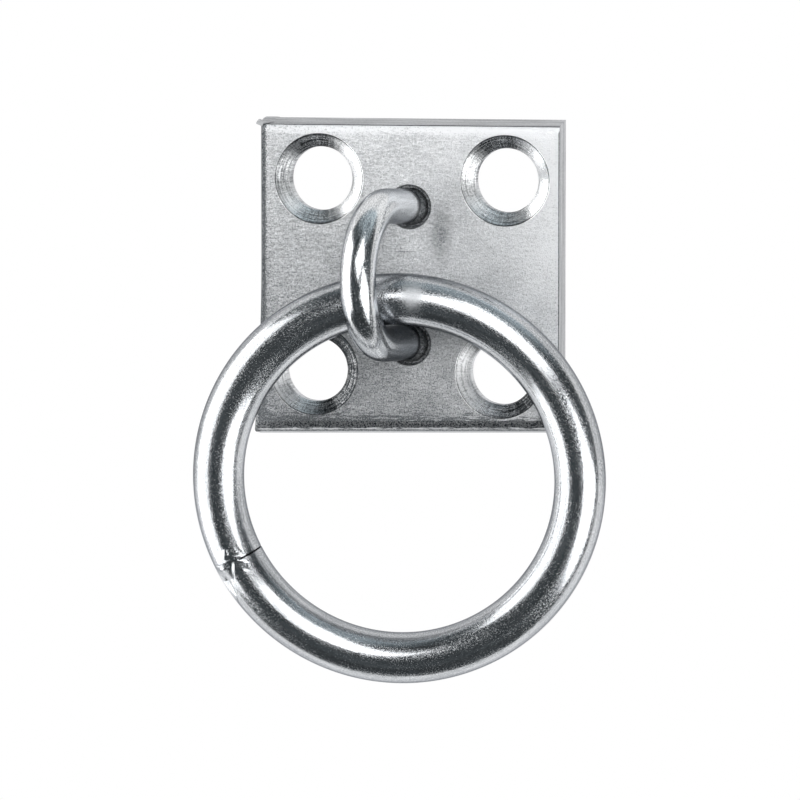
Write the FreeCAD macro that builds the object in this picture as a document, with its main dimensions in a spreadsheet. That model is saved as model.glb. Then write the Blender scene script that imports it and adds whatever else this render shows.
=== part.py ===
import FreeCAD, Part
import os

import Sketcher

# Tie ring: a square screw-on plate, a staple riveted through it and a round ring on the staple.
# Millimetres and degrees. The back of the plate lies in the plane y = 0 and faces +Y, the side
# that is screwed to a post. The staple and the ring stand out towards -Y, and +Z is up.
# The origin is the middle of the plate's back.

DRIVING_SIZES = [
    # Plate, cut from flat bar with sheared top and bottom edges
    ("plate_width", 49.7),
    ("plate_height", 49.6),
    ("plate_thickness", 5),
    ("top_flare", 0.94),
    ("bottom_flare", 0.77),
    ("bottom_slope", 1.2),
    ("top_rollover", 0.8),
    ("bottom_rollover", 1.6),
    ("left_rollover", 0.7),
    ("foot_flare", 1.25),
    ("foot_flare_rise", 29.7),
    ("trim_margin", 2),
    # Burr left by the shear on the top left corner, given from that corner of the plate's front
    ("burr_root", 0.5),
    ("burr_overhang", 1.1),
    ("burr_spur_rise", 0.18),
    ("burr_shoulder_side", 0.66),
    ("burr_shoulder_rise", 0.92),
    ("burr_crest_side", 0.6),
    ("burr_crest_rise", 1.05),
    ("burr_length", 4),
    ("burr_end_rise", 0.5),
    ("burr_front_gap", 0.5),
    ("burr_front_share", 0.3),
    # Four countersunk screw holes
    ("screw_hole", 10.4),
    ("screw_countersink", 14.5),
    ("screw_countersink_angle", 100),
    ("screw_pitch_across", 30.9),
    ("screw_pitch_up", 31.2),
    ("screw_rise", 0.42),
    ("screw_lean", 0.4),
    ("breakout_width", 0.3),
    ("breakout_depth", 1.6),
    # Staple bent from round rod, with its two feet riveted over behind the plate
    ("staple_rod", 5.75),
    ("staple_pitch", 22.2),
    ("staple_rise", 0.55),
    ("staple_leg", 10.4),
    ("lean_left", 10.5),
    ("lean_up", 2.7),
    ("staple_hole", 7.15),
    ("rivet_head", 9.8),
    ("rivet_angle", 90),
    ("rivet_clearance", 0.03),
    ("rivet_sink", 0.1),
    ("foot_depth", 0.75),
    # Ring bent from round rod and butt welded
    ("ring_rod", 8.3),
    ("ring_opening", 50.5),
    ("ring_turn", 6.5),
    ("ring_lie", 4),
    ("ring_side_play", 1.97),
    ("ring_plate_gap", 0.4),
    ("hang_gap", 0.25),
    ("seam_angle", 206.5),
    ("seam_gap", 0.35),
    ("seam_reach", 0.5),
]

WORKED_OUT_SIZES = [
    # The plate's lowest corner is its bottom left one, behind
    ("foot_height", "plate_height / 2 + bottom_flare + (plate_width / 2 + foot_flare) * tan(bottom_slope)"),
    ("rivet_depth", "(rivet_head - staple_hole) / 2 / tan(rivet_angle / 2)"),
    # Where the upper foot of the staple starts, behind the plate's middle plane
    ("foot_back", "plate_thickness / 2 - foot_depth"),
    ("foot_side", "foot_back * tan(lean_left)"),
    ("foot_drop", "foot_back * tan(lean_up) / cos(lean_left)"),
    ("bow_radius", "staple_pitch / 2 * cos(lean_up)"),
    ("lower_leg_extra", "2 * bow_radius * tan(lean_up)"),
    # How far the ring's rod stands in front of the plate, and where it crosses the lower leg
    ("ring_radius", "(ring_opening + ring_rod) / 2"),
    ("ring_drop", "ring_radius - sqrt(ring_radius ^ 2 - (plate_width / 2) ^ 2)"),
    ("ring_reach", "ring_plate_gap + ring_rod / 2 + plate_width / 2 * tan(ring_turn) "
                   "+ ring_drop * sin(ring_lie)"),
    ("crossing", "ring_reach + plate_thickness / 2"),
    ("leg_height", "staple_rise - staple_pitch / 2 + crossing * tan(lean_up) / cos(lean_left)"),
    ("hang_height", "leg_height + (staple_rod / 2 + ring_rod / 2 + hang_gap) / cos(lean_up)"),
    ("hang_side", "ring_side_play - crossing * tan(lean_left)"),
]

# How far a point may lie from the place where an edge is looked for
NEAR = 0.01
# The cell in which one-off expressions are worked out
WORKING_CELL = "C1"

doc = FreeCAD.newDocument("tie_ring")
sheet = doc.addObject("Spreadsheet::Sheet", "Sizes")


def fill_sheet():
    """Writes each size into its own cell of the sheet, under its name."""
    row = 1
    for name, number in DRIVING_SIZES:
        sheet.set("A%d" % row, str(number))
        sheet.setAlias("A%d" % row, name)
        row += 1
    for name, formula in WORKED_OUT_SIZES:
        sheet.set("A%d" % row, "=" + formula)
        sheet.setAlias("A%d" % row, name)
        row += 1
    doc.recompute()


def size(expression):
    """Gives the present value of an expression in the sheet's sizes."""
    sheet.set(WORKING_CELL, "=" + expression.replace("Sizes.", ""))
    sheet.recompute()
    return float(sheet.get(WORKING_CELL))


def add_body(name):
    body = doc.addObject("PartDesign::Body", name)
    body.Label = name
    return body


def attach(feature, body, role, offset=None):
    """Lays a sketch or primitive on one of its body's origin planes, moved by an expression."""
    plane = [item for item in body.Origin.OriginFeatures if item.Role == role][0]
    feature.AttachmentSupport = (plane, [""])
    feature.MapMode = "FlatFace"
    if offset:
        feature.setExpression("AttachmentOffset", offset)


def add_sketch(body, name, role, offset=None):
    sketch = body.newObject("Sketcher::SketchObject", name)
    attach(sketch, body, role, offset)
    return sketch


def dimension(sketch, kind, where, expression):
    """Adds a dimension to the sketch and ties it to the sheet."""
    index = sketch.addConstraint(Sketcher.Constraint(kind, *where, size(expression)))
    name = "%s_%d" % (kind, index)
    sketch.renameConstraint(index, name)
    sketch.setExpression("Constraints." + name, expression)


def pin(sketch, piece, end, across, up):
    """Holds one end of a piece of a sketch at a place from its origin, or on an axis for None."""
    for kind, expression, axis in (("DistanceX", across, -2), ("DistanceY", up, -1)):
        if expression is None:
            sketch.addConstraint(Sketcher.Constraint("PointOnObject", piece, end, axis))
        else:
            dimension(sketch, kind, (-1, 1, piece, end), expression)


def point(across, up):
    """Gives the place of two expressions in a sketch, with None on the axis."""
    return FreeCAD.Vector(size(across) if across else 0, size(up) if up else 0, 0)


def draw_polygon(sketch, corners):
    """Draws a closed outline through corners that are given as expressions."""
    lines = []
    for index, corner in enumerate(corners):
        following = corners[(index + 1) % len(corners)]
        line = Part.LineSegment(point(*corner), point(*following))
        lines.append(sketch.addGeometry(line))
    for index, line in enumerate(lines):
        following = lines[(index + 1) % len(lines)]
        sketch.addConstraint(Sketcher.Constraint("Coincident", line, 2, following, 1))
        pin(sketch, line, 1, *corners[index])


def draw_circle(sketch, across, up, diameter):
    centre = point(across, up)
    circle = Part.Circle(centre, FreeCAD.Vector(0, 0, 1), size(diameter) / 2)
    piece = sketch.addGeometry(circle)
    pin(sketch, piece, 3, across, up)
    dimension(sketch, "Diameter", (piece,), diameter)


def edges_where(feature, test):
    """Names the edges of a feature whose middle point and curve pass a test."""
    names = []
    for index, edge in enumerate(feature.Shape.Edges):
        middle = edge.valueAt((edge.FirstParameter + edge.LastParameter) / 2)
        if test(edge, middle):
            names.append("Edge%d" % (index + 1))
    return names


def is_near(one, other):
    return abs(one - other) < NEAR


def round_edges(body, name, test, radius):
    base = body.Tip
    rounding = body.newObject("PartDesign::Fillet", name)
    rounding.Base = (base, edges_where(base, test))
    rounding.setExpression("Radius", radius)
    doc.recompute()


def shape_plate_blank(body):
    """The plate seen from its side, drawn out over its width, with its top edge rolled over."""
    side = add_sketch(body, "side_profile", "YZ_Plane",
                      "placement(vector(0; 0; Sizes.plate_width / 2); rotationz(0))")
    draw_polygon(side, [
        (None, "Sizes.plate_height / 2 + Sizes.top_flare"),
        (None, "-Sizes.foot_height"),
        ("-Sizes.plate_thickness", "-Sizes.foot_height"),
        ("-Sizes.plate_thickness", "Sizes.plate_height / 2"),
    ])
    blank = body.newObject("PartDesign::Pad", "blank")
    blank.Profile = side
    blank.Reversed = True
    blank.setExpression("Length", "Sizes.plate_width + Sizes.foot_flare")
    doc.recompute()

    front = -size("Sizes.plate_thickness")
    half_height = size("Sizes.plate_height / 2")
    round_edges(body, "top_edge",
                lambda edge, middle: is_near(middle.y, front) and is_near(middle.z, half_height),
                "Sizes.top_rollover")


def trim_bottom_edge(body):
    """Cuts the bottom edge, which flares to the back and rises a little to the right."""
    trim = add_sketch(body, "bottom_cut", "YZ_Plane",
                      "placement(vector(0; 0; 0); rotationx(-Sizes.bottom_slope))")
    edge = "-Sizes.plate_height / 2"
    beyond = " Sizes.bottom_flare * Sizes.trim_margin / Sizes.plate_thickness"
    below = "-Sizes.foot_height - Sizes.trim_margin"
    draw_polygon(trim, [
        ("Sizes.trim_margin", edge + " - Sizes.bottom_flare -" + beyond),
        ("-Sizes.plate_thickness - Sizes.trim_margin", edge + " +" + beyond),
        ("-Sizes.plate_thickness - Sizes.trim_margin", below),
        ("Sizes.trim_margin", below),
    ])
    cut = body.newObject("PartDesign::Pocket", "bottom_edge_trim")
    cut.Profile = trim
    cut.Type = "ThroughAll"
    cut.Midplane = True
    doc.recompute()

    front = -size("Sizes.plate_thickness")
    limit = size(edge + " + Sizes.bottom_rollover")
    round_edges(body, "bottom_edge",
                lambda edge, middle: is_near(middle.y, front) and middle.z < limit,
                "Sizes.bottom_rollover")


def trim_left_edge(body):
    """Cuts the left edge: straight above, and swinging out in an arc to the bottom corner."""
    trim = add_sketch(body, "left_outline", "XZ_Plane")
    left = "-Sizes.plate_width / 2"
    outside = left + " - Sizes.foot_flare - Sizes.trim_margin"
    above = "Sizes.plate_height / 2 + Sizes.top_flare + Sizes.trim_margin"
    foot = "-Sizes.foot_height"
    bend = foot + " + Sizes.foot_flare_rise"
    corner = left + " - Sizes.foot_flare"
    swing = "(Sizes.foot_flare_rise ^ 2 + Sizes.foot_flare ^ 2) / 2 / Sizes.foot_flare"

    centre = point(left + " - " + swing, bend)
    arc_start = point(corner, foot)
    arc_end = point(left, bend)
    radius = size(swing)
    axis = FreeCAD.Vector(0, 0, 1)
    circle = Part.Circle(centre, axis, radius)
    arc = Part.ArcOfCircle(circle, circle.parameter(arc_start), circle.parameter(arc_end))
    curve = trim.addGeometry(arc)
    corners = [(left, bend), (left, above), (outside, above), (outside, foot), (corner, foot)]
    lines = []
    for start, end in zip(corners, corners[1:]):
        lines.append(trim.addGeometry(Part.LineSegment(point(*start), point(*end))))
    trim.addConstraint(Sketcher.Constraint("Coincident", curve, 2, lines[0], 1))
    for line, following in zip(lines, lines[1:]):
        trim.addConstraint(Sketcher.Constraint("Coincident", line, 2, following, 1))
    trim.addConstraint(Sketcher.Constraint("Coincident", lines[-1], 2, curve, 1))
    for line, corner_place in zip(lines, corners):
        pin(trim, line, 1, *corner_place)
    pin(trim, lines[-1], 2, *corners[-1])
    dimension(trim, "Radius", (curve,), swing)

    cut = body.newObject("PartDesign::Pocket", "left_edge_trim")
    cut.Profile = trim
    cut.Type = "ThroughAll"
    cut.Midplane = True
    doc.recompute()

    front = -size("Sizes.plate_thickness")
    limit = size("-Sizes.plate_width / 2") + NEAR
    round_edges(body, "left_edge",
                lambda edge, middle: is_near(middle.y, front) and middle.x < limit,
                "Sizes.left_rollover")


def draw_burr_section(body, name, share, offset=None):
    """Draws the burr's section around the plate's top left corner at a share of its full size."""
    corners = [
        ("Sizes.burr_root", "-Sizes.burr_root"),
        ("-Sizes.burr_overhang", "Sizes.burr_spur_rise"),
        ("-Sizes.burr_shoulder_side", "Sizes.burr_shoulder_rise"),
        ("Sizes.burr_crest_side", "Sizes.burr_crest_rise"),
        ("Sizes.burr_length", "Sizes.burr_end_rise"),
    ]
    section = add_sketch(body, name, "XZ_Plane", offset)
    draw_polygon(section, [
        ("-Sizes.plate_width / 2 + %s * %s" % (share, across),
         "Sizes.plate_height / 2 + %s * %s" % (share, up)) for across, up in corners])
    return section


def add_corner_burr(body):
    """The shear's burr on the top left corner, a low ridge that grows towards the back."""
    front = "Sizes.plate_thickness - Sizes.top_rollover - Sizes.burr_front_gap"
    burr = body.newObject("PartDesign::AdditiveLoft", "corner_burr")
    burr.Profile = draw_burr_section(body, "burr_back", "1")
    burr.Sections = [draw_burr_section(body, "burr_front", "Sizes.burr_front_share",
                                       "placement(vector(0; 0; %s); rotationz(0))" % front)]
    burr.Ruled = True
    doc.recompute()


def drill_screw_holes(body):
    """Four countersunk holes, with the torn edge that a punch leaves behind the plate."""
    places = add_sketch(body, "screw_places", "XZ_Plane",
                        "placement(vector(0; 0; Sizes.plate_thickness); rotationz(0))")
    for side in ("-", ""):
        for height, lean in (("-", " - "), ("", " + ")):
            draw_circle(places, side + "Sizes.screw_pitch_across / 2" + lean + "Sizes.screw_lean",
                        height + "Sizes.screw_pitch_up / 2 + Sizes.screw_rise",
                        "Sizes.screw_hole")
    doc.recompute()
    holes = body.newObject("PartDesign::Hole", "screw_holes")
    holes.Profile = places
    holes.ThreadType = "None"
    holes.DepthType = "ThroughAll"
    holes.setExpression("Diameter", "Sizes.screw_hole")
    holes.HoleCutType = "Countersink"
    holes.HoleCutCustomValues = True
    holes.setExpression("HoleCutDiameter", "Sizes.screw_countersink")
    holes.setExpression("HoleCutCountersinkAngle", "Sizes.screw_countersink_angle")
    doc.recompute()

    radius = size("Sizes.screw_hole / 2")
    breakout = body.newObject("PartDesign::Chamfer", "screw_hole_breakout")
    breakout.Base = (holes, edges_where(
        holes, lambda edge, middle: is_near(middle.y, 0)
        and hasattr(edge.Curve, "Radius") and is_near(edge.Curve.Radius, radius)))
    breakout.ChamferType = "Two distances"
    breakout.setExpression("Size", "Sizes.breakout_width")
    breakout.setExpression("Size2", "Sizes.breakout_depth")
    doc.recompute()


def drill_staple_holes(body):
    """Two holes for the staple's feet, countersunk from behind for the riveted heads."""
    places = add_sketch(body, "staple_places", "XZ_Plane")
    for height in ("-", ""):
        draw_circle(places, None, height + "Sizes.staple_pitch / 2 + Sizes.staple_rise",
                    "Sizes.staple_hole")
    doc.recompute()
    holes = body.newObject("PartDesign::Hole", "staple_holes")
    holes.Profile = places
    holes.ThreadType = "None"
    holes.DepthType = "ThroughAll"
    holes.Reversed = True
    holes.setExpression("Diameter", "Sizes.staple_hole")
    holes.HoleCutType = "Countersink"
    holes.HoleCutCustomValues = True
    holes.setExpression("HoleCutDiameter", "Sizes.rivet_head")
    holes.setExpression("HoleCutCountersinkAngle", "Sizes.rivet_angle")
    doc.recompute()


def make_backplate():
    body = add_body("backplate")
    shape_plate_blank(body)
    trim_bottom_edge(body)
    trim_left_edge(body)
    add_corner_burr(body)
    drill_screw_holes(body)
    drill_staple_holes(body)


def add_rivet_head(body, name, height):
    """A foot's head: a cone that fills its countersink, a little below the plate's back."""
    head = body.newObject("PartDesign::AdditiveCone", name)
    attach(head, body, "XZ_Plane",
           "placement(vector(0; %s; Sizes.rivet_sink); rotationz(0))" % height)
    narrowing = "Sizes.rivet_clearance / cos(Sizes.rivet_angle / 2)"
    sunk = "Sizes.rivet_sink * tan(Sizes.rivet_angle / 2)"
    head.setExpression("Radius1", "Sizes.rivet_head / 2 - %s - %s" % (sunk, narrowing))
    head.setExpression("Radius2", "Sizes.staple_hole / 2 - " + narrowing)
    head.setExpression("Height", "Sizes.rivet_depth - Sizes.rivet_sink")
    doc.recompute()


def make_staple():
    """Round rod bent to a U. It stands a little askew in its holes, up and to the left."""
    body = add_body("staple")
    foot_height = "Sizes.staple_rise + Sizes.staple_pitch / 2 - Sizes.foot_drop"
    path = add_sketch(body, "bow_path", "YZ_Plane",
                      "placement(vector(-Sizes.foot_depth; %s; Sizes.foot_side); "
                      "rotationy(-Sizes.lean_left) * rotationz(-Sizes.lean_up))" % foot_height)
    leg_end = "-Sizes.staple_leg - Sizes.foot_back"
    drop = "-2 * Sizes.bow_radius"
    upper = path.addGeometry(Part.LineSegment(point(None, None), point(leg_end, None)))
    centre = point(leg_end, "-Sizes.bow_radius")
    circle = Part.Circle(centre, FreeCAD.Vector(0, 0, 1), size("Sizes.bow_radius"))
    top = circle.parameter(point(leg_end, None))
    bottom = circle.parameter(point(leg_end, drop))
    bow = path.addGeometry(Part.ArcOfCircle(circle, top, bottom))
    lower_foot = "Sizes.lower_leg_extra"
    lower = path.addGeometry(Part.LineSegment(point(leg_end, drop), point(lower_foot, drop)))
    path.addConstraint(Sketcher.Constraint("Coincident", upper, 1, -1, 1))
    path.addConstraint(Sketcher.Constraint("Horizontal", upper))
    path.addConstraint(Sketcher.Constraint("Horizontal", lower))
    path.addConstraint(Sketcher.Constraint("Tangent", upper, 2, bow, 1))
    path.addConstraint(Sketcher.Constraint("Tangent", bow, 2, lower, 1))
    dimension(path, "DistanceX", (-1, 1, upper, 2), leg_end)
    dimension(path, "Radius", (bow,), "Sizes.bow_radius")
    dimension(path, "DistanceX", (-1, 1, lower, 2), lower_foot)

    section = add_sketch(body, "rod_section", "XZ_Plane",
                         "placement(vector(Sizes.foot_side; %s; Sizes.foot_depth); "
                         "rotationy(-Sizes.lean_left) * rotationx(-Sizes.lean_up))" % foot_height)
    draw_circle(section, None, None, "Sizes.staple_rod")
    doc.recompute()
    rod = body.newObject("PartDesign::AdditivePipe", "bent_rod")
    rod.Profile = section
    rod.Spine = path
    doc.recompute()
    add_rivet_head(body, "upper_head", "Sizes.staple_rise + Sizes.staple_pitch / 2")
    add_rivet_head(body, "lower_head", "Sizes.staple_rise - Sizes.staple_pitch / 2")


def make_ring():
    """Round rod bent to a ring. Its own origin is the ring's centre, and its axis is y."""
    body = add_body("ring")
    section = add_sketch(body, "rod_section_ring", "YZ_Plane")
    draw_circle(section, None, "Sizes.ring_radius", "Sizes.ring_rod")
    doc.recompute()
    hoop = body.newObject("PartDesign::Revolution", "hoop")
    hoop.Profile = section
    hoop.ReferenceAxis = (section, ["H_Axis"])
    hoop.Angle = 360
    doc.recompute()

    # The joint stays open from the rod's inner side to its front
    gap = add_sketch(body, "seam_section", "YZ_Plane",
                     "placement(vector(0; 0; 0); rotationx(90 - Sizes.seam_angle))")
    clear = "-Sizes.ring_rod / 2 - Sizes.seam_reach"
    draw_polygon(gap, [
        (clear, "Sizes.ring_radius"),
        (clear, "Sizes.ring_radius " + clear),
        (None, "Sizes.ring_radius " + clear),
    ])
    doc.recompute()
    seam = body.newObject("PartDesign::Groove", "seam")
    seam.Profile = gap
    seam.ReferenceAxis = (gap, ["H_Axis"])
    seam.Midplane = True
    seam.setExpression("Angle", "Sizes.seam_gap / Sizes.ring_radius * 180 / pi")
    doc.recompute()

    body.setExpression("Placement",
                       "placement(vector("
                       "Sizes.hang_side - Sizes.ring_radius * sin(Sizes.ring_lie) * sin(Sizes.ring_turn); "
                       "-Sizes.plate_thickness - Sizes.ring_reach "
                       "+ Sizes.ring_radius * sin(Sizes.ring_lie) * cos(Sizes.ring_turn); "
                       "Sizes.hang_height - Sizes.ring_radius * cos(Sizes.ring_lie)); "
                       "rotationz(Sizes.ring_turn) * rotationx(Sizes.ring_lie))")


def write_parts():
    """Checks every object, and then writes one file for each piece."""
    doc.recompute()
    for item in doc.Objects:
        if "Invalid" in item.State or "Error" in item.State:
            raise RuntimeError("%s failed: %s" % (item.Name, item.State))
    bodies = [item for item in doc.Objects if item.isDerivedFrom("PartDesign::Body")]
    for body in bodies:
        if body.Shape.isNull() or not body.Shape.isValid() or len(body.Shape.Solids) != 1:
            raise RuntimeError("%s has no single valid solid" % body.Label)
    os.makedirs("parts", exist_ok=True)
    for body in bodies:
        body.Shape.exportStep("parts/%s.step" % body.Label)
        box = body.Shape.BoundBox
        print("%-10s volume %9.2f  x %.2f..%.2f  y %.2f..%.2f  z %.2f..%.2f" % (
            body.Label, body.Shape.Volume, box.XMin, box.XMax, box.YMin, box.YMax,
            box.ZMin, box.ZMax))


fill_sheet()
make_backplate()
make_staple()
make_ring()
write_parts()
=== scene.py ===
import math

import bpy
import numpy as np
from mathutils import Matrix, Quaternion, Vector
from mathutils.geometry import delaunay_2d_cdt


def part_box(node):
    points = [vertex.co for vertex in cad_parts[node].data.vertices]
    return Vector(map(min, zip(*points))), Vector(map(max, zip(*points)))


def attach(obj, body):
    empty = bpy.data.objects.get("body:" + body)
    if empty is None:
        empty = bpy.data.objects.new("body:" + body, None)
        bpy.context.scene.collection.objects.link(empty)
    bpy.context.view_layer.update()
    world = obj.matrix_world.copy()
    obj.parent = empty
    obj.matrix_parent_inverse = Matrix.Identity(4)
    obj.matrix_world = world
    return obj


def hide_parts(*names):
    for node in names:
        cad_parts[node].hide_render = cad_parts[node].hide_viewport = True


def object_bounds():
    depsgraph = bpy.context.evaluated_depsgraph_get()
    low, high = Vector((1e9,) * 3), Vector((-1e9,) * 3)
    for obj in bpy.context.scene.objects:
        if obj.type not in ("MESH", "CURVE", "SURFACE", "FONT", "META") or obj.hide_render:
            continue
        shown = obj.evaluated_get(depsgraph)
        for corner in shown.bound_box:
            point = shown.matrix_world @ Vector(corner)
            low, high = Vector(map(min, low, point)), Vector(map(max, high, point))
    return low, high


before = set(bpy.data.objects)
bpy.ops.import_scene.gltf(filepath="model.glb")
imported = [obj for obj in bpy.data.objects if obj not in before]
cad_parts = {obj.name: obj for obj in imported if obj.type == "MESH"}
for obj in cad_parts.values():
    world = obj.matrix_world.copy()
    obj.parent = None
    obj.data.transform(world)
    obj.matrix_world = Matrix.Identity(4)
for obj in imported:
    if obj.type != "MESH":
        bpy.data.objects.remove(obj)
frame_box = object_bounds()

# Tie ring: the looks of its plate, staple and ring, and a small studio round them.
# The part's lengths are millimetres until a mesh is made, and the studio's are metres. The frame is
# the part's own: the plate's back lies in y = 0, the staple and the ring stand out towards -Y, and
# +Z is up.

MM = 0.001
# Edges that turn by more than this stay sharp
SHARP_ANGLE = math.radians(32)
rng = np.random.default_rng(7)

# Sizes of the plate
PLATE_HALF_WIDTH = 24.85
PLATE_HALF_HEIGHT = 24.8
PLATE_THICK = 5.0
TOP_FLARE = 0.94
BOTTOM_FLARE = 0.77
BOTTOM_SLOPE = math.tan(math.radians(1.2))
BOTTOM_ROLLOVER = 1.6
LEFT_ROLLOVER = 0.7
# The plate's foot is its bottom left corner, to which the left edge swings out over this rise
FOOT_FLARE = 1.25
FOOT_FLARE_RISE = 29.7
FOOT_HEIGHT = PLATE_HALF_HEIGHT + BOTTOM_FLARE + (PLATE_HALF_WIDTH + FOOT_FLARE) * BOTTOM_SLOPE
# How far the front's edge stands in at a few depths behind it: a long shallow roll above and a
# small round to the right
TOP_ROLL = [(0, 1.1), (0.04, 0.85), (0.1, 0.55), (0.18, 0.25), (0.25, 0.1), (0.34, 0.03), (0.44, 0)]
RIGHT_ROLL = [(0, 0.2), (0.1, 0.06), (0.25, 0)]
TOP_ROLL_DEPTH = TOP_ROLL[-1][0]
# Where the walls are grainy and painted dark, as painted shade and dark reflections, from and to
# which depth: top, right, bottom and left
PAINTED_SHADE_GRAIN_DEPTHS = [(0.25, TOP_ROLL_DEPTH), (0, 0.1), (0, BOTTOM_ROLLOVER), (0, LEFT_ROLLOVER)]
# Depths of the walls' points behind the front, and the most that a line of the cut stands in
WALL_DEPTHS = [depth for depth, _ in TOP_ROLL] + [0.55, 0.7, 0.9, 1.15]
WALL_DEPTHS += list(np.linspace(BOTTOM_ROLLOVER, PLATE_THICK, 28))
CUT_LINE = 0.04
SIDE_POINTS = 130
HOLE_POINTS = 144
# Marks on the plate's front, as middle and half sizes: a pitted stretch, a smear and a scratch
PITTED = ((-25.5, -5, -12), (4.2, 9, 34))
SMEAR = ((5.3, -5, 7.0), (2.6, 4.5, 6.0))
SCRATCH = ((-0.6, -5, 4.35), (3.4, 4.5, 0.14))
# The plate's finishes, in the order of its materials
FACE, CUT, TURNED, PAINTED_SHADE_GRAIN = range(4)

# Burr on the plate's top left corner, given from that corner of its front: a lump along the top
# wall that grows towards the back, and a spur that stands in the front
BURR_CORNERS = [(0.5, -0.5), (-0.75, -0.1), (-0.8, 0.75), (-0.2, 1.08), (1.7, 1.08), (2.6, 0.86),
                (4.4, 0.7)]
BURR_TOP = 1.05
BURR_FRONT_GAP = 0.5
BURR_BACK_GAP = 0.03
BURR_FRONT_SHARE = 0.3
BURR_RAGGED = 0.04
SPUR_CORNERS = [(0.3, -0.35), (-0.72, 0.06), (-0.7, 0.24), (-0.24, 0.84), (0.2, 0.84), (0.6, 0.2)]
SPUR_DEPTH = 1.5
SPUR_BACK_SHARE = 0.45
SPUR_RAGGED = 0.03
LUMP_STEPS = 24
# How much of each side is cut away at its corners, in two rounds
CORNER_CUTS = (0.14, 0.2)

# Sizes of the screw holes
SCREW_HOLE_RADIUS = 5.2
SCREW_SINK_RADIUS = 7.25
SCREW_SINK_DEPTH = 1.72
SCREW_SINK_HALF_ANGLE = math.radians(50)
SCREW_PITCH_ACROSS = 30.9
SCREW_PITCH_UP = 31.2
SCREW_RISE = 0.42
SCREW_LEAN = 0.4
BREAKOUT_WIDTH = 0.3
BREAKOUT_DEPTH = 1.6
# The narrow rim of a countersink: how far outside the cone its circles lie, and how deep. One of
# the bands between them is dark and grainy
SINK_RIM = [(0.15, 0), (0.09, 0.03), (0, 0.11)]
DARK_BAND = 1
SINK_STEPS = 50
# The cutter's marks down the cone: how far they stand out, and the radians of their whole wave
TOOL_MARK = 0.012
TOOL_MARK_WAVE = 75
# Depths of the circles down the hole's wall, from the end of its countersink
HOLE_WALL_DEPTHS = (0.05, 0.5, 1.0, 1.5)
# How far apart the grain of one countersink lies from that of the next
SINK_GRAIN_STEP = 20

# Sizes of the staple
STAPLE_RADIUS = 2.875
STAPLE_PITCH = 22.2
STAPLE_RISE = 0.55
STAPLE_LEG = 10.4
LEAN_LEFT = math.radians(10.5)
LEAN_UP = math.radians(2.7)
LEG_STEPS = 50
BOW_STEPS = 140
LOWER_LEG_STEPS = 56
ROD_POINTS = 96
# The staple's holes, with their narrow rims, and its riveted feet
STAPLE_HOLE_RADIUS = 3.575
SEAT_RIM_WIDTH = 0.1
SEAT_DEPTHS = (0.12, 1.5)
RIVET_HEAD_RADIUS = 4.9
RIVET_HALF_ANGLE = math.radians(45)
RIVET_DEPTH = 1.325
RIVET_CLEARANCE = 0.03
RIVET_SINK = 0.1
RIVET_FLAT_RADIUS = 2.0
# The rounded edge of a rivet's head: how far it stands in, and how far in front of the head's back
RIVET_EDGE = [(0.2, 0), (0.05, 0.06)]
FOOT_DEPTH = 0.75
# How far behind the plate's front the riveted foot fills its hole, and how far its front then
# stands in and rises
SWELLING_EDGE = 0.75
SWELLING_STEP = (0.48, 0.05)
# The swollen collar of the foot as it rises out of its hole: how far it stands in, and how far it
# has risen
COLLAR_RADIUS = 2.97
COLLAR = [(0, 0.2), (0.03, 0.4), (0.08, 0.65), (0.16, 0.9), (0.27, 1.2), (0.42, 1.55), (0.62, 1.9),
          (0.9, 2.3)]
# The staple's finishes, in the order of its materials
ROD, FOOT_PAINTED_SHADE = range(2)

# Sizes of the ring
RING_RADIUS = 29.4
RING_ROD_RADIUS = 4.15
RING_TURN = math.radians(6.5)
RING_LIE = math.radians(4)
SEAM_ANGLE = math.radians(206.5)
SEAM_DEPTH = 0.9
SEAM_HALF_WIDTH = 0.15
# Where the seam is open, round the rod from its outer side: from the front to the inner side, with
# a fade at both ends
OPEN_START = math.radians(98)
OPEN_END = math.radians(200)
OPEN_FADE = math.radians(15)
# Points lie closer together near the weld. These are the angles between which their steps are even,
# along the ring in radians and round the rod in degrees, and the counts of the steps
WELD_AFTER = 7 / RING_RADIUS
WELD_BEFORE = 4 / RING_RADIUS
RING_ENDS = (SEAM_ANGLE, SEAM_ANGLE + WELD_AFTER, SEAM_ANGLE + 2 * math.pi - WELD_BEFORE,
             SEAM_ANGLE + 2 * math.pi)
RING_STEPS = (165, 390, 95)
ROUND_ENDS = (15, 125, 375)
ROUND_STEPS = (88, 62)
# The weld's ridges and dents: place along the ring in millimetres, place round the rod in degrees
# from its outer side, heading in degrees from the ring's run, half length, half width, and height
WELD_MARKS = [
    (-1.7, 77, -30, 0.7, 0.5, 0.2),
    (0.45, 45, 80, 0.6, 0.3, 0.16),
    (-0.35, 44, 85, 0.7, 0.16, -0.12),
    (-0.5, 102, 78, 0.8, 0.13, 0.06),
    (-1.4, 108, 20, 0.8, 0.3, -0.05),
    (0.6, 108, 60, 0.7, 0.2, 0.05),
    (1.7, 103, 15, 0.5, 0.3, -0.05),
]
# How steeply the border of such a mark falls off
MARK_FALL = 1.4
# The ground side of the weld falls away along the ring, outside a line across the rod that starts
# from one place and heads towards another: along the ring and round the rod, in millimetres
GROUND_LINE = ((-0.5, 0.3), (2.3, -1.5))
GROUND_SLOPE = 0.2
GROUND_DEPTH = 0.6
GROUND_EDGE = 0.5
GROUND_ENDS = (3.2, 8.0)
GROUND_SIDES = (-5.2, -4.0)
# Where the ring is dull beside the staple and painted pale, a painted reflection of the staple, as
# middle and half sizes: outwards and forwards from the middle of the rod, and along the ring from its
# seam
RING_DULL_PAINTED_REFLECTION = ((1.2, 3.9, 122.2), (4.6, 3.8, 2.7))


# Meshes

def even_angles(count):
    """A full turn in even steps."""
    return np.linspace(0, 2 * math.pi, count, endpoint=False)


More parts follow.
